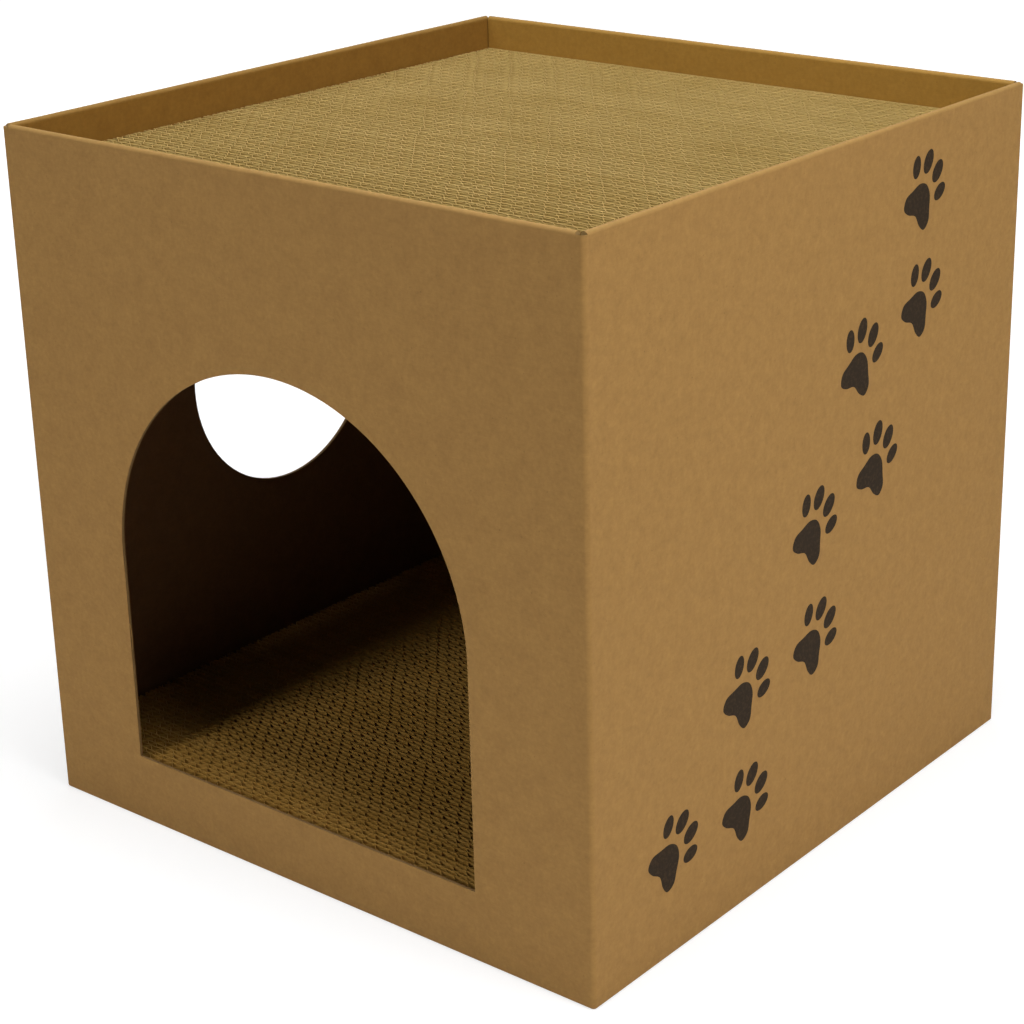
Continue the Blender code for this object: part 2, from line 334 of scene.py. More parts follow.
def die_lines(beyond=0.0):
    """Each wall's cut lines for the door and the window, or lines a little way beyond them."""
    reach = DOOR_RADIUS + beyond
    door = [(DOOR_OFFSET - reach, DOOR_SILL - beyond), (DOOR_OFFSET + reach, DOOR_SILL - beyond)]
    door += arc((DOOR_OFFSET, DOOR_SPRING), reach, 0.0, pi, 64)
    window = arc((-WINDOW_OFFSET, WINDOW_HEIGHT), WINDOW_RADIUS + beyond, 0.0, 2 * pi, 80)[:-1]
    return {"front": [door], "left": [window], "right": [], "back": []}


openings = die_lines()
PINCH = 0.9 * MM              # the die crushes the flutes this far round an opening
PINCH_SEAT = 0.02 * MM        # the crushed band lies this far from the papers over it
pinched = die_lines(PINCH)

holes = [[(middle[side] + x, y) for x, y in hole] for side in sides for hole in openings[side]]
foot = FOOT_RADIUS * (1 - pi / 2)
outline = [(0.0, foot), (travelled, foot), (travelled, NOTCH_TOP)]
for side in reversed(sides):
    zone = half_run[side] - NOTCH[side]
    outline += [(middle[side] + zone, NOTCH_TOP), (middle[side] + zone, CREST_TOP),
                (middle[side] - zone, CREST_TOP), (middle[side] - zone, NOTCH_TOP)]
outline.append((0.0, NOTCH_TOP))


def rectangle(start, low, end, high):
    return [(start, low), (end, low), (end, high), (start, high)]


def uprights(runs, low, high):
    """Lines up the sheet at the given places along it."""
    return [((run, low), (run, high)) for run in runs]


def rungs(start, end, levels):
    """Lines along the sheet at the given heights."""
    return [((start, level), (end, level)) for level in levels]


def panel_runs(side):
    """Places every 25 mm along a wall, which keep its triangles short."""
    return [middle[side] + step * 25 * MM for step in range(-6, 7)]


def rim_runs(side):
    """Places along a rim's fold, a quarter of a flute apart."""
    zone = half_run[side] - NOTCH[side]
    count = round(2 * zone / (FLUTE_PITCH / 4))
    return [middle[side] - zone + 2 * zone * step / count for step in range(1, count)]


full_height = []
for start, _, _, bend in legs:
    if bend:
        stretch = bend * pi / 2
        full_height += [start + stretch * step / CORNER_STEPS for step in range(CORNER_STEPS + 1)]
        full_height += [start - SHADING_GUARD, start + stretch + SHADING_GUARD]
for side in sides:
    full_height += panel_runs(side)
lines = uprights(full_height, foot, CREST_TOP)
for side in sides:
    lines += uprights(rim_runs(side), HEIGHT - 4.0 * MM, CREST_TOP)
levels = [foot + (FOOT_RADIUS - foot) * step / 5 for step in range(1, 6)]
levels += [FOOT_RADIUS + SHADING_GUARD] + [HEIGHT - drop * MM for drop in (8.0, 6.0, 4.0, 2.3)]
levels += [CREST_BASE + BEND * step / BEND_STEPS for step in range(BEND_STEPS + 1)]
lines += rungs(0.0, travelled, levels)

outer_paper = folded_sheet("outer_paper", die_cut([outline] + holes, lines), wall_point,
                           SKIN, LINER, kraft_outside)

# The cabin's inside face wears the inside paper, whose darker tone is painted shade.
inner_outline = rectangle(0.0, INNER_FOOT, travelled, CREST_BASE)
inner_paper = folded_sheet(
    "inner_paper", die_cut([inner_outline] + holes, uprights(full_height, INNER_FOOT, CREST_BASE)),
    wall_point, BOARD - LINER, BOARD, kraft_inside)

# In a crease the flutes are crushed flat: the corners hold a solid pack of paper.
CREASE_TOP = NOTCH_TOP - 0.3 * MM
crushed = []
for start, _, _, bend in legs:
    if bend:
        stretch = bend * pi / 2
        strip = rectangle(start, INNER_FOOT, start + stretch, CREASE_TOP)
        facets = [start + stretch * step / CORNER_STEPS for step in range(1, CORNER_STEPS)]
        crushed.append(folded_sheet(
            "crushed_crease", die_cut([strip], uprights(facets, INNER_FOOT, CREASE_TOP)), wall_point,
            LINER + SEAT, BOARD - LINER - SEAT, crushed_paper))

# Over the rim too the board is bent flat on itself, and its raw ends show in the notches.
CORE_INSIDE = BOARD - 0.15 * MM
for side in sides:
    zone = half_run[side] - NOTCH[side]
    strip = rectangle(middle[side] - zone, CREST_BASE, middle[side] + zone, CREST_TOP)
    bends = [CREST_BASE + BEND * step / BEND_STEPS for step in range(1, BEND_STEPS + 1)]
    cuts = rungs(middle[side] - zone, middle[side] + zone, bends)
    crushed.append(folded_sheet("crushed_crest", die_cut([strip], cuts), wall_point,
                                LINER + SEAT, CORE_INSIDE, crushed_paper))

# Round the door and the window the die has pinched the flutes shut.
for side in ("front", "left"):
    rings = [[(middle[side] + x, y) for x, y in loop] for loop in pinched[side] + openings[side]]
    crushed.append(folded_sheet("pinched_edge", die_cut(rings), wall_point,
                                LINER + PINCH_SEAT, BOARD - LINER - PINCH_SEAT, fluting_paper))


def new_tree(name, result, inputs):
    """A geometry tree with one result, and its named inputs, listed by their kind."""
    tree = bpy.data.node_groups.new(name, "GeometryNodeTree")
    for kind, labels in inputs:
        for label in labels:
            tree.interface.new_socket(label, in_out="INPUT", socket_type="NodeSocket" + kind)
    tree.interface.new_socket(result, in_out="OUTPUT", socket_type="NodeSocketGeometry")
    return tree, add_node(tree, "NodeGroupInput").outputs


# The corrugator: waved paper cut to a panel's shape, with or without the two liners. The panel
# lies in XY with its flutes along Y, its near face at zero and its far face at the board's thickness.
corrugator, given = new_tree("corrugator", "Sheet", (
    ("Geometry", ("Panel",)), ("Float", ("Board", "Liner", "Fluting", "Flute pitch")), ("Int", ("Steps",)),
    ("Bool", ("Near liner", "Far liner")), ("Material", ("Near paper", "Far paper", "Fluting paper"))))


def slab(tree, panel, low, thickness):
    """Closes a flat panel into a slab that starts at a height."""
    rise = add_node(tree, "ShaderNodeCombineXYZ", sockets={"Z": thickness})
    risen = add_node(tree, "GeometryNodeExtrudeMesh", sockets={
        "Mesh": panel, "Offset": rise, "Offset Scale": 1.0, "Individual": False})
    under = add_node(tree, "GeometryNodeFlipFaces", sockets={"Mesh": panel})
    both = add_node(tree, "GeometryNodeJoinGeometry", sockets=(risen,))
    tree.links.new(under.outputs[0], both.inputs[0])
    welded = add_node(tree, "GeometryNodeMergeByDistance", sockets={
        "Geometry": both, "Distance": 0.001 * MM})
    lift = add_node(tree, "ShaderNodeCombineXYZ", sockets={"Z": low})
    return add_node(tree, "GeometryNodeTransform", sockets={"Geometry": welded, "Translation": lift})


extent = add_node(corrugator, "GeometryNodeBoundBox", sockets=(given["Panel"],)).outputs
span = add_node(corrugator, VECTOR_MATH, "SUBTRACT", (extent["Max"], extent["Min"]))
span = add_node(corrugator, "ShaderNodeSeparateXYZ", sockets=(span,)).outputs
centre = add_node(corrugator, VECTOR_MATH, "ADD", (extent["Max"], extent["Min"]))
centre = add_node(corrugator, VECTOR_MATH, "SCALE", {0: centre, "Scale": 0.5})
facet = add_node(corrugator, MATH, "DIVIDE", (given["Flute pitch"], given["Steps"]))
columns = add_node(corrugator, MATH, "DIVIDE", (span["X"], facet))
columns = add_node(corrugator, MATH, "CEIL", (columns,))
columns = add_node(corrugator, MATH, "ADD", (columns, 2.0))
stock_size = add_node(corrugator, "ShaderNodeCombineXYZ", sockets={
    "X": add_node(corrugator, MATH, "MULTIPLY", (columns, facet)),
    "Y": add_node(corrugator, MATH, "ADD", (span["Y"], 4 * MM)), "Z": given["Fluting"]})
stock = add_node(corrugator, "GeometryNodeMeshCube", sockets={
    "Size": stock_size, "Vertices X": add_node(corrugator, MATH, "ADD", (columns, 1.0)),
    "Vertices Y": 2, "Vertices Z": 2})
stock = add_node(corrugator, "GeometryNodeTransform", sockets={"Geometry": stock, "Translation": centre})
across = add_node(corrugator, "GeometryNodeInputPosition")
across = add_node(corrugator, "ShaderNodeSeparateXYZ", sockets=(across,))
turn = add_node(corrugator, MATH, "MULTIPLY", (across, 2 * pi))
turn = add_node(corrugator, MATH, "DIVIDE", (turn, given["Flute pitch"]))
room = add_node(corrugator, MATH, "MULTIPLY", (given["Liner"], 2.0))
room = add_node(corrugator, MATH, "SUBTRACT", (given["Board"], room))
swing = add_node(corrugator, MATH, "SUBTRACT", (room, given["Fluting"]))
swing = add_node(corrugator, MATH, "MULTIPLY", (swing, 0.49))
wave = add_node(corrugator, MATH, "COSINE", (turn,))
wave = add_node(corrugator, MATH, "MULTIPLY", (wave, swing))
half_board = add_node(corrugator, MATH, "MULTIPLY", (given["Board"], 0.5))
wave = add_node(corrugator, MATH, "ADD", (wave, half_board))
wave = add_node(corrugator, "ShaderNodeCombineXYZ", sockets={"Z": wave})
waved = add_node(corrugator, "GeometryNodeSetPosition", sockets={"Geometry": stock, "Offset": wave})
cutter = slab(corrugator, given["Panel"], -MM, add_node(corrugator, MATH, "ADD", (given["Board"], 2 * MM)))
trimmed = add_node(corrugator, "GeometryNodeMeshBoolean", {"operation": "INTERSECT", "solver": "EXACT"})
for part in (waved, cutter):
    corrugator.links.new(part.outputs[0], trimmed.inputs["Mesh 2"])
sheets = [add_node(corrugator, "GeometryNodeSetMaterial", sockets={
    "Geometry": trimmed, "Material": given["Fluting paper"]})]
far_low = add_node(corrugator, MATH, "SUBTRACT", (given["Board"], given["Liner"]))
for label, paper, low in (("Near liner", "Near paper", 0.0), ("Far liner", "Far paper", far_low)):
    liner = slab(corrugator, given["Panel"], low, given["Liner"])
    liner = add_node(corrugator, "GeometryNodeSetMaterial", sockets={
        "Geometry": liner, "Material": given[paper]})
    sheets.append(add_node(corrugator, "GeometryNodeSwitch", {"input_type": "GEOMETRY"}, {
        "Switch": given[label], "True": liner}))
stack = add_node(corrugator, "GeometryNodeJoinGeometry")
for sheet in sheets:
    corrugator.links.new(sheet.outputs[0], stack.inputs[0])
real = add_node(corrugator, "GeometryNodeRealizeInstances", sockets=(stack,))
add_node(corrugator, "NodeGroupOutput", sockets=(real,))


def run_nodes(name, tree, values, start_mesh=None, smooth_below=50):
    """Runs a node tree with named inputs and returns its result as a plain piece."""
    piece = bpy.data.objects.new(name, start_mesh or bpy.data.meshes.new(name))
    bpy.context.scene.collection.objects.link(piece)
    modifier = piece.modifiers.new(name, "NODES")
    modifier.node_group = tree
    for item in tree.interface.items_tree:
        if item.in_out == "INPUT" and item.name in values:
            modifier[item.identifier] = values[item.name]
    bpy.context.view_layer.update()
    mesh = bpy.data.meshes.new_from_object(piece.evaluated_get(bpy.context.evaluated_depsgraph_get()))
    piece.modifiers.remove(modifier)
    piece.data = mesh
    mesh.name = name
    mesh.shade_smooth()
    mesh.set_sharp_from_angle(angle=radians(smooth_below))
    return piece


def fluted_board(name, loops, place, near_paper=None, far_paper=None):
    """A flat panel of board: fluting cut to shape, and a liner on each side that is given a paper."""
    corners, faces = die_cut(loops)
    panel = bpy.data.meshes.new(name)
    panel.from_pydata([(x, y, 0.0) for x, y in corners], [], faces)
    board = run_nodes(name, corrugator, {
        "Board": BOARD, "Liner": LINER, "Fluting": FLUTING, "Flute pitch": FLUTE_PITCH,
        "Steps": FLUTE_STEPS, "Near liner": near_paper is not None, "Far liner": far_paper is not None,
        "Near paper": near_paper, "Far paper": far_paper, "Fluting paper": fluting_paper}, panel)
    board.data.transform(place)
    if place.determinant() < 0:
        board.data.flip_normals()
    return board


def upright(side, inward=0.0):
    """Places a panel of a wall: X along the wall, Y up, Z inwards from its outer face."""
    out = Vector({"left": (-1, 0, 0), "front": (0, -1, 0), "right": (1, 0, 0), "back": (0, 1, 0)}[side])
    up = Vector((0, 0, 1))
    reach = HALF_Y if side in ("front", "back") else HALF_X
    turned = Matrix((up.cross(out), up, -out)).transposed().to_4x4()
    return Matrix.Translation(out * (reach - inward)) @ turned


BRINK = CREST_BASE - 0.1 * MM           # the flutes end just short of the rim's bend
fluting = []
for side in sides:
    half = half_run[side]
    start = SEAM_INSET if side == "left" else CORNER_RADIUS
    end = SEAM_RADIUS + BOARD + LAYER_GAP if side == "back" else CORNER_RADIUS
    panel = rectangle(-half + start, INNER_FOOT, half - end, BRINK)
    fluting.append(fluted_board(side + "_fluting", [panel] + pinched[side], upright(side)))

# At the door's left jamb a sliver of the outer paper has come away from the flutes and bows out.
SLIVER_LOW, SLIVER_HIGH = 95.0 * MM, 109.0 * MM
SLIVER_BOW, SLIVER_WIDE = 0.9 * MM, 0.45 * MM
jamb = DOOR_OFFSET - DOOR_RADIUS


def sliver_point(x, y, depth):
    bow = SLIVER_BOW * sin(pi * (y - SLIVER_LOW) / (SLIVER_HIGH - SLIVER_LOW))
    return (jamb + bow + depth, -HALF_Y + LINER + x, y)


sliver_outline = rectangle(0.0, SLIVER_LOW, SLIVER_WIDE, SLIVER_HIGH)
sliver_rungs = rungs(0.0, SLIVER_WIDE, [SLIVER_LOW + step * MM for step in range(1, 14)])
sliver = folded_sheet("sliver", die_cut([sliver_outline], sliver_rungs), sliver_point,
                      -0.02 * MM, 0.13 * MM, kraft_outside)

walls = joined("walls_folded_sheet", [outer_paper, inner_paper, sliver] + crushed + fluting)
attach(walls, "box")
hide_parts("front_wall", "right_wall", "back_wall", "left_wall")


# The rim: the top of each wall is folded over and down inside, double, and stands above the pad as
# a rounded edge. The same sheet of board, creased and bent by hand; the folds stop short of the
# corners, where the raw edges show.

# The visible face of the fold: the outer paper, in two painted copies. On the front and back it is warmer,
# painted bounce light from the walls and the pad; on the two sides, whose crest is turned from the light,
# it is darker, painted shade.
kraft_rim_painted_bounce_light = kraft_paper("kraft_liner_rim_painted_bounce_light", "#A27930", "#AA8137", "#986F28", crest_wear=0.7)
kraft_rim_painted_shade = kraft_paper("kraft_liner_rim_painted_shade", "#80591B", "#886121", "#764F14", crest_wear=0.7)
lit_and_shaded_rim_paper = {"front": kraft_rim_painted_bounce_light, "back": kraft_rim_painted_bounce_light, "left": kraft_rim_painted_shade, "right": kraft_rim_painted_shade}
LEDGE_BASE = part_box("front_shelf")[0].z
FOLD_FACE = 2 * BOARD + LAYER_GAP       # visible face of the fold, inwards of the wall's outer face


def rim_bend(run, drop, depth):
    """Bends a strip over the rim: from the middle of the crest, over, and down inside the wall."""
    radius = BOARD - depth
    over = drop - CREST_FLAT
    if over <= 0:
        inward, level = BOARD + CREST_FLAT + drop, HEIGHT - depth
    elif over < BEND:
        inward = BOARD + LAYER_GAP + radius * sin(over / BOARD)
        level = CREST_BASE + radius * cos(over / BOARD)
    else:
        inward, level = FOLD_FACE - depth, CREST_BASE - (over - BEND)
    return (*plan_point(run, inward), hand_folded(run, level, level))


def rim_strip(name, outline, lines, near, far, paper):
    """One paper of a rim's fold, measured downwards, so its triangles are turned round to face out."""
    corners, faces = die_cut([outline], lines)
    faces = [tuple(reversed(face)) for face in faces]
    return folded_sheet(name, (corners, faces), rim_bend, near, far, paper)


for side in sides:
    zone = half_run[side] - NOTCH[side]
    start, end = middle[side] - zone, middle[side] + zone
    deep = CREST_FLAT + BEND + HEIGHT - BOARD - LEDGE_BASE
    levels = [CREST_FLAT + BEND * step / BEND_STEPS for step in range(BEND_STEPS + 1)]
    lines = uprights(rim_runs(side), 0.0, CREST_FLAT + BEND + 2.2 * MM)
    lines += rungs(end, start, levels + [CREST_FLAT + BEND + drop * MM for drop in (0.5, 2.2, 4.2, 6.2)])
    lines += uprights(panel_runs(side), 0.0, deep)
    face_paper = rim_strip("face_paper", rectangle(end, 0.0, start, deep), lines, SKIN, LINER,
                           lit_and_shaded_rim_paper[side])
    panel = rectangle(-zone, LEDGE_BASE, zone, BRINK)
    backing = fluted_board("backing", [panel], upright(side, BOARD + LAYER_GAP), near_paper=kraft_inside)
    core = rim_strip("core", rectangle(start, 0.0, end, levels[-1]), rungs(end, start, levels[:-1]),
                     LINER + SEAT, CORE_INSIDE, crushed_paper)
    fold = joined(side + "_rim_fold", [face_paper, backing, core])
    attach(fold, "box")
    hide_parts(side + "_rim_flap")


# The ledges: the rim's strips are creased again at their lower edges and turned inwards, level, to
# carry the tray. Plain panels of the same board with mitred ends.
LEDGE_REACH = 42.0 * MM
LEDGE_CORNER = 6.0 * MM       # the mitred ends stay this far apart


def level_panel(side, low):
    """Places a level panel: X along the wall, Y inwards from its outer face, Z up."""
    place = upright(side)
    flat = place.copy()
    for row in range(3):
        flat[row][1], flat[row][2] = place[row][2], place[row][1]
    return Matrix.Translation((0, 0, low)) @ flat


for side in sides:
    half = half_run[side]
    root = FOLD_FACE + LAYER_GAP
    tip = root + LEDGE_REACH
    panel = [(-half + root + LEDGE_CORNER, root), (half - root - LEDGE_CORNER, root),
             (half - tip - LEDGE_CORNER, tip), (-half + tip + LEDGE_CORNER, tip)]
    # The ledge's upper paper is the rim's copy with painted bounce light.
    ledge = fluted_board(side + "_ledge", [panel], level_panel(side, LEDGE_BASE), kraft_inside, kraft_rim_painted_bounce_light)
    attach(ledge, "box")
    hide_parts(side + "_shelf")


# The tongue: the back wall's end, tapered, creased and glued flat inside the left wall to close the
# box. The same board.
tongue_low, tongue_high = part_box("glue_flap")
TONGUE_TAPER = 10.0 * MM
start, end = -tongue_high.y, -tongue_low.y
panel = [(start, tongue_low.z), (end, tongue_low.z + TONGUE_TAPER),
         (end, tongue_high.z - TONGUE_TAPER), (start, tongue_high.z)]
tongue = fluted_board("glued_tongue", [panel], upright("left", BOARD + LAYER_GAP),
                      kraft_outside, kraft_inside)
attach(tongue, "box")
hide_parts("glue_flap")


# The bottom: two inner flaps from the front and back walls, and under them two outer flaps from the
# side walls, which the house stands on. Panels of the same board, creased at the walls' feet.
FLAP_TAPER = 4.0 * MM
for side, body, slot in (("front", "box", "kraft_inside"), ("back", "box", "kraft_inside"),
                         ("left", "flap_left", "kraft_outside"), ("right", "flap_right", "kraft_outside")):
    low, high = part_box(side + "_bottom_flap")
    if side in ("front", "back"):
        half = high.x
        start, end = HALF_Y - max(-low.y, high.y), HALF_Y - min(abs(low.y), abs(high.y))
    else:
        half = high.y
        start, end = HALF_X - max(-low.x, high.x), HALF_X - min(abs(low.x), abs(high.x))
    panel = [(-half, start), (half, start), (half - FLAP_TAPER, end), (-half + FLAP_TAPER, end)]
    flap = fluted_board(side + "_floor_flap", [panel], level_panel(side, low.z),
                        kraft_outside, kraft_inside)
    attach(flap, body)
    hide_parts(side + "_bottom_flap")


# The tray board: a loose rectangle of the same board that lies on the ledges and carries the
# scratching pad and the cat.
low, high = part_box("tray_board")
tray = fluted_board("tray_sheet", [rectangle(low.x, low.y, high.x, high.y)],
                    Matrix.Translation((0, 0, low.z)), kraft_outside, kraft_outside)
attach(tray, "tray")
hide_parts("tray_board")


# The scratching pads: strips of double-wall board, a tall flute and a low one on a shared middle
# liner, sawn to width, glued face to face and laid with the flutes on end, so that the cut edges
# make the scratching surface.
STRIP = 6.75 * MM             # one strip of board
JOINT = 0.55 * MM             # two liners and the glue between two strips
MIDDLE = 0.28 * MM            # the liner between the two flutes
PAD_FLUTING = 0.32 * MM       # the waved papers
TALL = 3.45 * MM              # room of the tall flute between its liners
LOW = STRIP - JOINT - TALL - MIDDLE
TALL_PITCH, LOW_PITCH = 8.13 * MM, 6.3 * MM
REGISTER = 5.4 * MM           # each strip's flutes lie this far past those of the strip before
SHEET_STRIPS = 12.0           # strips sawn from one sheet
SAW_JITTER = 0.35 * MM
WANDER = 0.9 * MM

laminate, given = new_tree("flutes_on_end", "Pad", (
    ("Float", ("Length", "Depth", "Thickness", "Strip", "Offset", "Room", "Sheet", "Flute pitch",
               "Register", "Saw jitter", "Wander")),
    ("Int", ("Steps", "Seed")), ("Bool", ("Liners",)), ("Material", ("Paper", "Sawn edge"))))
plies = add_node(laminate, MATH, "DIVIDE", (given["Depth"], given["Strip"]))
plies = add_node(laminate, MATH, "ROUND", (plies,))
pitch_across = add_node(laminate, MATH, "DIVIDE", (given["Depth"], plies))
half_depth = add_node(laminate, MATH, "MULTIPLY", (given["Depth"], -0.5))
half_thick = add_node(laminate, MATH, "MULTIPLY", (given["Thickness"], 0.5))


def strips(tree, count, first, columns, thickness, scale):
    """Thin upright boxes side by side along Y, each of which knows its number."""
    start = add_node(tree, "ShaderNodeCombineXYZ", sockets={"Y": first, "Z": half_thick})
    offset = add_node(tree, "ShaderNodeCombineXYZ", sockets={"Y": pitch_across})
    row = add_node(tree, "GeometryNodeMeshLine", {"mode": "OFFSET"}, {
        "Count": count, "Start Location": start, "Offset": offset})
    number = add_node(tree, "GeometryNodeInputIndex")
    row = add_node(tree, "GeometryNodeStoreNamedAttribute", {"data_type": "FLOAT", "domain": "POINT"}, {
        "Geometry": row, "Name": "ply", "Value": number})
    size = add_node(tree, "ShaderNodeCombineXYZ", sockets={
        "X": given["Length"], "Y": thickness, "Z": given["Thickness"]})
    strip = add_node(tree, "GeometryNodeMeshCube", sockets={
        "Size": size, "Vertices X": columns, "Vertices Y": 2, "Vertices Z": 2})
    placed = add_node(tree, "GeometryNodeInstanceOnPoints", sockets={
        "Points": row, "Instance": strip, "Scale": scale})
    return add_node(tree, "GeometryNodeRealizeInstances", sockets=(placed,))


ply_number = add_node(laminate, "GeometryNodeInputNamedAttribute", {"data_type": "FLOAT"}, {
    "Name": "ply"}).outputs["Attribute"]
point = add_node(laminate, "GeometryNodeInputPosition")
point_axes = add_node(laminate, "ShaderNodeSeparateXYZ", sockets=(point,)).outputs


def chance(tree, owner, low, high, salt):
    """A random number for each ply or sheet, from the tree's seed."""
    seed = add_node(tree, MATH, "ADD", (given["Seed"], float(salt)))
    return add_node(tree, "FunctionNodeRandomValue", {"data_type": "FLOAT"}, {
        "Min": low, "Max": high, "ID": owner, "Seed": seed}).outputs["Value"]


# Fluting: strips cut from one sheet lie in a drifting register, and every dozen strips another sheet
# begins. The wave fills the room between its two liners, less where the board was crushed.
columns = add_node(laminate, MATH, "DIVIDE", (given["Length"], given["Flute pitch"]))
columns = add_node(laminate, MATH, "MULTIPLY", (columns, given["Steps"]))
columns = add_node(laminate, MATH, "ROUND", (columns,))
columns = add_node(laminate, MATH, "ADD", (columns, 1.0))
first = add_node(laminate, MATH, "ADD", (half_depth, given["Offset"]))
waves = strips(laminate, plies, first, columns, given["Sheet"], (1.0, 1.0, 1.0))
sheet_number = add_node(laminate, MATH, "DIVIDE", (ply_number, SHEET_STRIPS))
sheet_number = add_node(laminate, MATH, "FLOOR", (sheet_number,))
slip = add_node(laminate, "ShaderNodeTexNoise", {"noise_dimensions": "1D"}, {
    "W": ply_number, "Scale": 0.23, "Detail": 1.0})
phase = add_node(laminate, MATH, "DIVIDE", (given["Register"], given["Flute pitch"]))
phase = add_node(laminate, MATH, "MULTIPLY", (ply_number, phase))
phase = add_node(laminate, MATH, "ADD", (phase, add_node(laminate, MATH, "MULTIPLY", (slip, 0.8))))
phase = add_node(laminate, MATH, "ADD", (phase, chance(laminate, ply_number, -0.06, 0.06, 5)))
phase = add_node(laminate, MATH, "ADD", (phase, chance(laminate, sheet_number, 0.0, 1.0, 2)))
turn = add_node(laminate, MATH, "DIVIDE", (point_axes["X"], given["Flute pitch"]))
turn = add_node(laminate, MATH, "ADD", (turn, phase))
turn = add_node(laminate, MATH, "MULTIPLY", (turn, 2 * pi))
swing = add_node(laminate, MATH, "SUBTRACT", (given["Room"], given["Sheet"]))
swing = add_node(laminate, MATH, "MULTIPLY", (swing, 0.51))
crush = add_node(laminate, "ShaderNodeTexNoise", {"noise_dimensions": "4D"}, {
    "Vector": point, "W": ply_number, "Scale": 1 / (25 * MM), "Detail": 1.0})
crush = add_node(laminate, "ShaderNodeMapRange", sockets={
    "Value": crush, "From Min": 0.25, "From Max": 0.6, "To Min": 0.80, "To Max": 1.0})
swing = add_node(laminate, MATH, "MULTIPLY", (swing, crush))
wave = add_node(laminate, MATH, "COSINE", (turn,))
wave = add_node(laminate, MATH, "MULTIPLY", (wave, swing))
wave = add_node(laminate, "ShaderNodeCombineXYZ", sockets={"Y": wave})
waved = add_node(laminate, "GeometryNodeSetPosition", sockets={"Geometry": waves, "Offset": wave})

# Liners: one more of them than there are strips where they are the joints.
scale = add_node(laminate, "ShaderNodeCombineXYZ", sockets={"X": 1.0, "Y": given["Sheet"], "Z": 1.0})
is_joint = add_node(laminate, MATH, "LESS_THAN", (given["Offset"], 0.01 * MM))
liner_count = add_node(laminate, MATH, "ADD", (plies, is_joint))
liners = strips(laminate, liner_count, first, 25, 1.0, scale)

picked = add_node(laminate, "GeometryNodeSwitch", {"input_type": "GEOMETRY"}, {
    "Switch": given["Liners"], "False": waved, "True": liners})
# The saw and use leave each strip's top a little lower or higher, and the strips wander sideways.
drop = chance(laminate, ply_number, 0.0, 1.0, 3)
rough = add_node(laminate, "ShaderNodeTexNoise", {"noise_dimensions": "4D"}, {
    "Vector": point, "W": ply_number, "Scale": 1 / (9 * MM), "Detail": 2.0})
drop = add_node(laminate, MATH, "ADD", (drop, rough))
drop = add_node(laminate, MATH, "MULTIPLY", (drop, given["Saw jitter"]))
is_top = add_node(laminate, MATH, "GREATER_THAN", (point_axes["Z"], half_thick))
drop = add_node(laminate, MATH, "MULTIPLY", (drop, is_top))
drop = add_node(laminate, MATH, "MULTIPLY", (drop, -0.5))
slow = add_node(laminate, "ShaderNodeTexNoise", sockets={
    "Vector": point, "Scale": 1 / (70 * MM), "Detail": 1.0})
sideways = add_node(laminate, MATH, "SUBTRACT", (slow, 0.5))
sideways = add_node(laminate, MATH, "MULTIPLY", (sideways, given["Wander"]))
shift = add_node(laminate, "ShaderNodeCombineXYZ", sockets={"Y": sideways, "Z": drop})
settled = add_node(laminate, "GeometryNodeSetPosition", sockets={"Geometry": picked, "Offset": shift})
papered = add_node(laminate, "GeometryNodeSetMaterial", sockets={
    "Geometry": settled, "Material": given["Paper"]})
facing = add_node(laminate, "GeometryNodeInputNormal")
facing = add_node(laminate, "ShaderNodeSeparateXYZ", sockets=(facing,)).outputs["Z"]
is_edge = add_node(laminate, "FunctionNodeCompare", {"data_type": "FLOAT", "operation": "GREATER_THAN"},
                   (facing, 0.7))
papered = add_node(laminate, "GeometryNodeSetMaterial", sockets={
    "Geometry": papered, "Selection": is_edge, "Material": given["Sawn edge"]})
real = add_node(laminate, "GeometryNodeRealizeInstances", sockets=(papered,))
add_node(laminate, "NodeGroupOutput", sockets=(real,))


def strip_paper(name, pale, deep, roughness):
    """Recycled corrugating paper: straw to olive, each ply its own tone, fibres along the strip."""
    material, tree, place = new_material(name)
    ply = add_node(tree, "ShaderNodeAttribute", {"attribute_name": "ply"}).outputs["Fac"]
    own = add_node(tree, "ShaderNodeTexWhiteNoise", {"noise_dimensions": "1D"}, {"W": ply})
    patches = add_node(tree, "ShaderNodeTexNoise", sockets={
        "Vector": place, "Scale": 1 / (40 * MM), "Detail": 4.0, "Roughness": 0.6})
    fuzz = add_node(tree, "ShaderNodeTexNoise", sockets={
        "Vector": place, "Scale": 1 / (1.2 * MM), "Detail": 2.0, "Roughness": 0.6})
    blend = add_node(tree, MATH, "MULTIPLY_ADD", (own, 0.35, patches))
    blend = add_node(tree, "ShaderNodeMapRange", sockets={
        "Value": blend, "From Min": 0.35, "From Max": 1.0})
    tone = add_node(tree, "ShaderNodeMix", {"data_type": "RGBA"}, {
        "Factor": blend, "A": paint(pale), "B": paint(deep)})
    strength = add_node(tree, "ShaderNodeMapRange", sockets={
        "Value": fuzz, "From Min": 0.3, "From Max": 0.7, "To Min": 0.90, "To Max": 1.08})
    colour = add_node(tree, VECTOR_MATH, "SCALE", {0: tone.outputs["Result"], "Scale": strength})
    relief = add_node(tree, "ShaderNodeBump", sockets={
        "Height": fuzz, "Strength": 0.6, "Distance": 0.08 * MM})
    set_surface(tree, colour.outputs[0], roughness, 0.2, relief)
    return material


# Corrugating paper, recycled: straw faces inside the flutes, a duller felt of fibres where the saw cut it.
# The floor pad's is browner and darker: painted shade of the cabin it lies in.
papers = {"top_pad": (strip_paper("recycled_fluting_face", "#C6AA68", "#B89C58", 0.9),
                      strip_paper("recycled_fluting_sawn_edge", "#AF955C", "#A2864C", 0.95)),
          "floor_pad": (strip_paper("brown_fluting_face_painted_shade", "#C2964A", "#B5893C", 0.9),
                        strip_paper("brown_fluting_sawn_edge_painted_shade", "#AC843E", "#A07732", 0.95))}
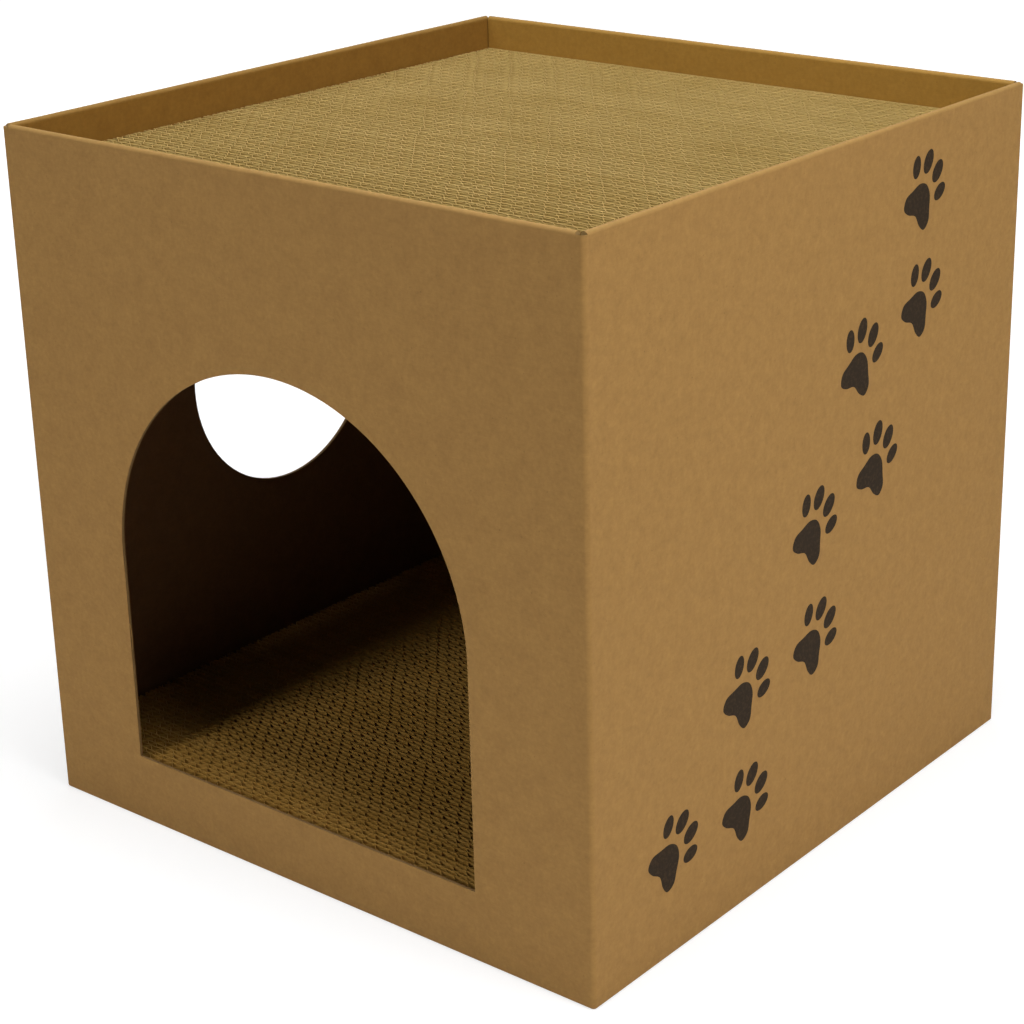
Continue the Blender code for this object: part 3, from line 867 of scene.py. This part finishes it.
# Each layer's place across the strip, its room, its sheet's thickness, its pitch and its facets.
layers = {"_tall_flutes": (JOINT / 2 + TALL / 2, TALL, PAD_FLUTING, TALL_PITCH, 10),
          "_low_flutes": (STRIP - JOINT / 2 - LOW / 2, LOW, PAD_FLUTING, LOW_PITCH, 8),
          "_joints": (0.0, 0.0, JOINT, TALL_PITCH, 1),
          "_middle_liners": (JOINT / 2 + TALL + MIDDLE / 2, 0.0, MIDDLE, TALL_PITCH, 1)}
for node, body, seed in (("floor_pad", "floor_mat", 11), ("top_pad", "scratcher", 4)):
    low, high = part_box(node)
    for label, (offset, room, sheet, pitch, facets) in layers.items():
        layer = run_nodes(node + label, laminate, {
            "Length": high.x - low.x, "Depth": high.y - low.y, "Thickness": high.z - low.z, "Strip": STRIP,
            "Offset": offset, "Room": room, "Sheet": sheet, "Flute pitch": pitch, "Steps": facets,
            "Register": REGISTER, "Seed": seed, "Saw jitter": SAW_JITTER, "Wander": WANDER,
            "Liners": room == 0.0, "Paper": papers[node][0], "Sawn edge": papers[node][1]}, smooth_below=60)
        layer.data.transform(Matrix.Translation((0, 0, low.z)))
        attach(layer, body)
        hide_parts(node)


# The print on the right wall: a trail of paw prints in dark ink, printed on the sheet before it was
# cut. A film with no thickness to speak of, drawn 0.03 mm thick.
PRINT_SIZE = 1.45             # the stencil is drawn in millimetres for a 25 mm print
FILM = 0.03 * MM


def smooth_loop(handles, steps=6):
    """A closed smooth line through the given points."""
    loop = []
    count = len(handles)
    for index in range(count):
        a, b, c, d = (Vector(handles[(index + shift) % count]) for shift in (-1, 0, 1, 2))
        for step in range(steps):
            t = step / steps
            loop.append(0.5 * ((2 * b) + (c - a) * t + (2 * a - 5 * b + 4 * c - d) * t * t
                               + (3 * b - a - 3 * c + d) * t ** 3))
    return loop


half_pad = [(0.0, 6.6), (3.9, 5.0), (6.6, 1.2), (8.9, -2.6), (7.9, -6.2), (4.3, -6.4)]
main_pad = half_pad + [(0.0, -4.9)] + [(-x, y) for x, y in reversed(half_pad[1:])]
shapes = [smooth_loop(main_pad)]
for x, y, wide, tall, lean in ((3.7, 13.2, 2.7, 4.2, -6), (9.3, 8.4, 2.4, 3.8, -24)):
    for hand in (1, -1):
        turn = Matrix.Rotation(radians(lean * hand), 2)
        shapes.append([turn @ Vector((px * wide, py * tall)) + Vector((x * hand, y))
                       for px, py in arc((0, 0), 1.0, 0, 2 * pi, 28)[:-1]])
points, faces = [], []
for shape in shapes:
    faces.append(tuple(range(len(points), len(points) + len(shape))))
    points += [(x * MM * PRINT_SIZE, y * MM * PRINT_SIZE, 0.0) for x, y in shape]
stencil = new_piece("paw_stencil", points, faces, [])

trail, given = new_tree("paw_trail", "Prints", (
    ("Geometry", ("Path",)), ("Object", ("Stencil",)), ("Float", ("Stride", "Straddle", "Film")),
    ("Material", ("Ink",))))
path = add_node(trail, "GeometryNodeMeshToCurve", sockets=(given["Path"],))
steps = add_node(trail, "GeometryNodeCurveToPoints", {"mode": "LENGTH"}, {
    "Curve": path, "Length": given["Stride"]}).outputs
# Left and right prints take turns.
foot_side = add_node(trail, "GeometryNodeInputIndex")
foot_side = add_node(trail, MATH, "MODULO", (foot_side, 2.0))
foot_side = add_node(trail, MATH, "MULTIPLY_ADD", (foot_side, 2.0, -1.0))
aside = add_node(trail, MATH, "MULTIPLY", (foot_side, given["Straddle"]))
across = add_node(trail, VECTOR_MATH, "CROSS_PRODUCT", (steps["Tangent"], (0.0, 0.0, 1.0)))
across = add_node(trail, VECTOR_MATH, "SCALE", {0: across, "Scale": aside})
placed = add_node(trail, "GeometryNodeSetPosition", sockets={"Geometry": steps["Points"], "Offset": across})
aim = add_node(trail, "FunctionNodeAlignRotationToVector", {"axis": "Y", "pivot_axis": "Z"}, {
    "Vector": steps["Tangent"]})
one_print = add_node(trail, "GeometryNodeObjectInfo", sockets={
    "Object": given["Stencil"]}).outputs["Geometry"]
prints = add_node(trail, "GeometryNodeInstanceOnPoints", sockets={
    "Points": placed, "Instance": one_print, "Rotation": aim})
prints = add_node(trail, "GeometryNodeRealizeInstances", sockets=(prints,))
prints = slab(trail, prints, 0.0, given["Film"])
prints = add_node(trail, "GeometryNodeSetMaterial", sockets={"Geometry": prints, "Material": given["Ink"]})
add_node(trail, "NodeGroupOutput", sockets=(prints,))

# Water-based flexographic ink, black-brown: matt, sunk into the paper, thin over the fibres.
ink, tree, place = new_material("flexographic_ink")
thin = add_node(tree, "ShaderNodeTexNoise", sockets={
    "Vector": place, "Scale": 1 / (1.5 * MM), "Detail": 4.0, "Roughness": 0.65})
thin = add_node(tree, "ShaderNodeMapRange", sockets={"Value": thin, "From Min": 0.5, "From Max": 0.85})
tone = add_node(tree, "ShaderNodeMix", {"data_type": "RGBA"}, {
    "Factor": thin, "A": paint("#2E2419"), "B": paint("#4C3A26")})
set_surface(tree, tone.outputs["Result"], 0.8, 0.1)

# The trail's line, along the wall and up it. The last three points only steer its end.
route = smooth_loop([(-0.112, 0.034), (-0.050, 0.096), (0.012, 0.168), (0.060, 0.262), (0.110, 0.330),
                     (0.2, 0.6), (-0.6, 0.6), (-0.3, -0.1)], steps=12)[:12 * 3 + 10]
path = bpy.data.meshes.new("trail_path")
path.from_pydata([(x, y, 0.0) for x, y in route], [(i, i + 1) for i in range(len(route) - 1)], [])
prints = run_nodes("paw_print_trail", trail, {
    "Stencil": stencil, "Stride": 41 * MM, "Straddle": 19 * MM, "Film": FILM, "Ink": ink}, path)
# The trail is drawn flat, seen from outside: X is the wall's run, Y is up, Z is out.
place = Matrix(((0, 0, 1, HALF_X - SKIN), (1, 0, 0, 0), (0, 1, 0, 0), (0, 0, 0, 1)))
prints.data.transform(place)
bpy.data.objects.remove(stencil, do_unlink=True)
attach(prints, "box")


# The studio: a white floor under the house and white surroundings. Five soft lamps: one overhead, two
# on the right, a weaker one in front and a weak one behind.
world = bpy.data.worlds.new("studio")
bpy.context.scene.world = world
world.use_nodes = True
tree = world.node_tree
backdrop = tree.nodes["Background"]
rays = add_node(tree, "ShaderNodeLightPath").outputs
shown = add_node(tree, MATH, "MAXIMUM", (rays["Is Camera Ray"], rays["Is Glossy Ray"]))
shown = add_node(tree, MATH, "MAXIMUM", (shown, rays["Is Transmission Ray"]))
# The room lights the house from above: the ceiling is bright and the horizon is dim.
skyward = add_node(tree, "ShaderNodeTexCoord").outputs["Generated"]
skyward = add_node(tree, "ShaderNodeSeparateXYZ", sockets=(skyward,)).outputs["Z"]
fill = add_node(tree, "ShaderNodeMapRange", sockets={
    "Value": skyward, "From Min": 0.0, "From Max": 1.0, "To Min": 0.01, "To Max": 0.04})
level = add_node(tree, "ShaderNodeMix", {"data_type": "FLOAT"}, {0: shown, 2: fill, 3: 1.0})
tree.links.new(level.outputs[0], backdrop.inputs["Strength"])
backdrop.inputs["Color"].default_value = (1.0, 1.0, 1.0, 1.0)

FLOOR_REACH = 12.0
floor = new_piece("studio_floor", [(x, y, 0) for x, y in rectangle(
    -FLOOR_REACH, -FLOOR_REACH, FLOOR_REACH, FLOOR_REACH)], [(0, 1, 2, 3)], [])
# Matt white paper: near white to the camera, with the house's shadow; it throws little light back.
paper, tree, place = new_material("studio_floor_paper")
rays = add_node(tree, "ShaderNodeLightPath").outputs
tone = add_node(tree, "ShaderNodeMix", {"data_type": "RGBA"}, {
    "Factor": rays["Is Camera Ray"], "A": (0.80, 0.80, 0.80, 1.0), "B": (0.42, 0.42, 0.42, 1.0)})
set_surface(tree, tone.outputs["Result"], 1.0, 0.0)
distance = add_node(tree, VECTOR_MATH, "LENGTH", (place,)).outputs["Value"]
glow = add_node(tree, "ShaderNodeMapRange", sockets={
    "Value": distance, "From Min": 0.45, "From Max": 1.6, "To Min": 0.66, "To Max": 1.0})
glow = add_node(tree, MATH, "MULTIPLY", (glow, rays["Is Camera Ray"]))
shader = tree.nodes["Principled BSDF"]
shader.inputs["Emission Color"].default_value = (1.0, 1.0, 1.0, 1.0)
tree.links.new(glow.outputs[0], shader.inputs["Emission Strength"])
floor.data.materials.append(paper)
floor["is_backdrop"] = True


def soft_lamp(name, position, size, watts):
    lamp = bpy.data.lights.new(name, "AREA")
    lamp.shape = "DISK"
    lamp.size = size
    lamp.energy = watts
    stand = bpy.data.objects.new(name, lamp)
    stand.location = position
    stand.rotation_euler = (LOOK_AT - stand.location).to_track_quat("-Z", "Y").to_euler()
    bpy.context.scene.collection.objects.link(stand)


LOOK_AT = Vector((0.0, 0.0, 0.18))
soft_lamp("overhead_lamp", (0.10, -0.10, 1.70), 0.9, 24.5)
soft_lamp("right_lamp", (1.10, -0.10, 1.30), 0.8, 11.2)
soft_lamp("right_low_lamp", (1.70, -0.20, 0.35), 0.9, 4.3)
soft_lamp("front_lamp", (-0.35, -1.70, 0.85), 0.6, 7.6)
# The last keeps the back and the window's side out of the dark.
soft_lamp("back_lamp", (-1.20, 1.30, 0.90), 0.9, 4.0)

# The camera, fitted to the seven visible corners of the box, with the roll of the hand that held it.
camera_data = bpy.data.cameras.new("camera")
camera_data.sensor_width = 36.0
camera_data.lens = 84.10
camera_data.shift_x = -0.0537
camera_data.shift_y = -0.0479
camera = bpy.data.objects.new("camera", camera_data)
stand, target, roll = Vector((0.731588, -0.885395, 0.591189)), Vector((0.022134, 0.0, 0.169957)), -0.01705
ahead = (target - stand).normalized()
right = ahead.cross(Vector((0, 0, 1))).normalized()
up = right.cross(ahead)
right, up = cos(roll) * right + sin(roll) * up, cos(roll) * up - sin(roll) * right
camera.matrix_world = Matrix.Translation(stand) @ Matrix((right, up, -ahead)).transposed().to_4x4()
bpy.context.scene.collection.objects.link(camera)
bpy.context.scene.camera = camera
bpy.context.scene.view_settings.view_transform = "Standard"

low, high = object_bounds()
